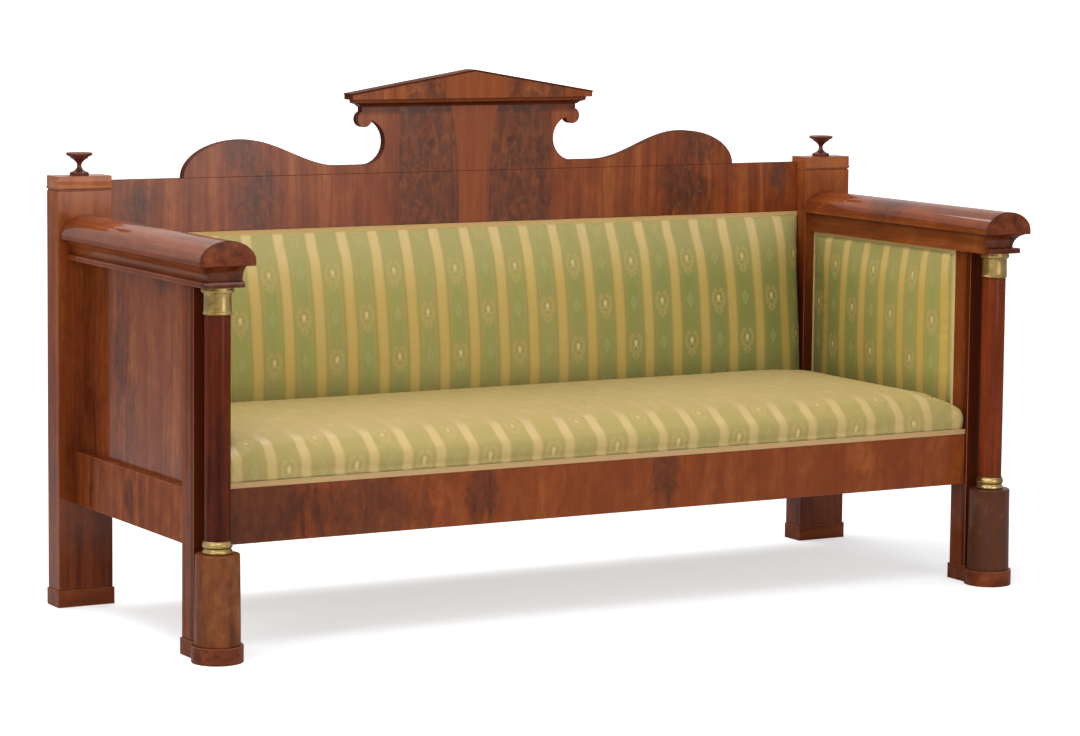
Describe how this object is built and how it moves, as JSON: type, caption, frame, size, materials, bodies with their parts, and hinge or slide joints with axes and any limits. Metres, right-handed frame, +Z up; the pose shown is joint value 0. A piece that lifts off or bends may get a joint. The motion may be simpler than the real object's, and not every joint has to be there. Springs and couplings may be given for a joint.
{
  "type": "recamier",
  "caption": "Straight Empire settee with a pediment back, closed arms on round brass-mounted columns, and tight striped upholstery.",
  "frame": {"origin": "middle of the footprint, on the floor", "axes": "+X to the right as seen from the front, along the length; +Y from the front to the back; +Z up"},
  "size_m": [2.006, 0.7664, 1.123],
  "materials": {
    "mahogany": "french polished veneer",
    "dark_mahogany": "french polished",
    "frame_wood": "planed, raw",
    "brass": "aged satin",
    "striped_cloth": "striped damask weave",
    "gold_braid": "woven braid",
    "webbing": "jute webbing",
    "sackcloth": "coarse hessian",
    "lining": "plain cotton"
  },
  "bodies": {
    "root": {"rear_post_left": "mahogany", "rear_post_right": "mahogany", "rear_foot_left": "dark_mahogany", "rear_foot_right": "dark_mahogany", "post_cap_left": "mahogany", "post_cap_right": "mahogany", "finial_left": "dark_mahogany", "finial_right": "dark_mahogany", "front_foot_left": "dark_mahogany", "front_foot_right": "dark_mahogany", "drum_left": "mahogany", "drum_right": "mahogany", "base_ring_left": "brass", "base_ring_right": "brass", "column_left": "dark_mahogany", "column_right": "dark_mahogany", "capital_left": "brass", "capital_right": "brass", "abacus_left": "brass", "abacus_right": "brass", "column_dowels": "frame_wood", "front_stile_left": "mahogany", "front_stile_right": "mahogany", "side_rail_left": "mahogany", "side_rail_right": "mahogany", "arm_panel_left": "mahogany", "arm_panel_right": "mahogany", "arm_backing_left": "frame_wood", "arm_backing_right": "frame_wood", "arm_moulding_left": "mahogany", "arm_moulding_right": "mahogany", "arm_top_left": "mahogany", "arm_top_right": "mahogany", "arm_pad_left": "striped_cloth", "arm_pad_right": "striped_cloth", "arm_braid_left": "gold_braid", "arm_braid_right": "gold_braid", "front_rail": "mahogany", "rear_rail": "frame_wood", "cross_bars": "frame_wood", "corner_blocks": "frame_wood", "seat_webbing": "webbing", "seat_sackcloth": "sackcloth", "seat_pad": "striped_cloth", "seat_braid": "gold_braid", "frieze_rail": "mahogany", "crest_board": "mahogany", "crest_dowels": "frame_wood", "bed_moulding": "dark_mahogany", "pediment": "mahogany", "pediment_coping": "dark_mahogany", "back_uprights": "frame_wood", "back_lower_rail": "frame_wood", "back_webbing": "webbing", "back_sackcloth": "sackcloth", "back_pad": "striped_cloth", "back_braid": "gold_braid", "back_lining": "lining"}
  },
  "joints": []
}
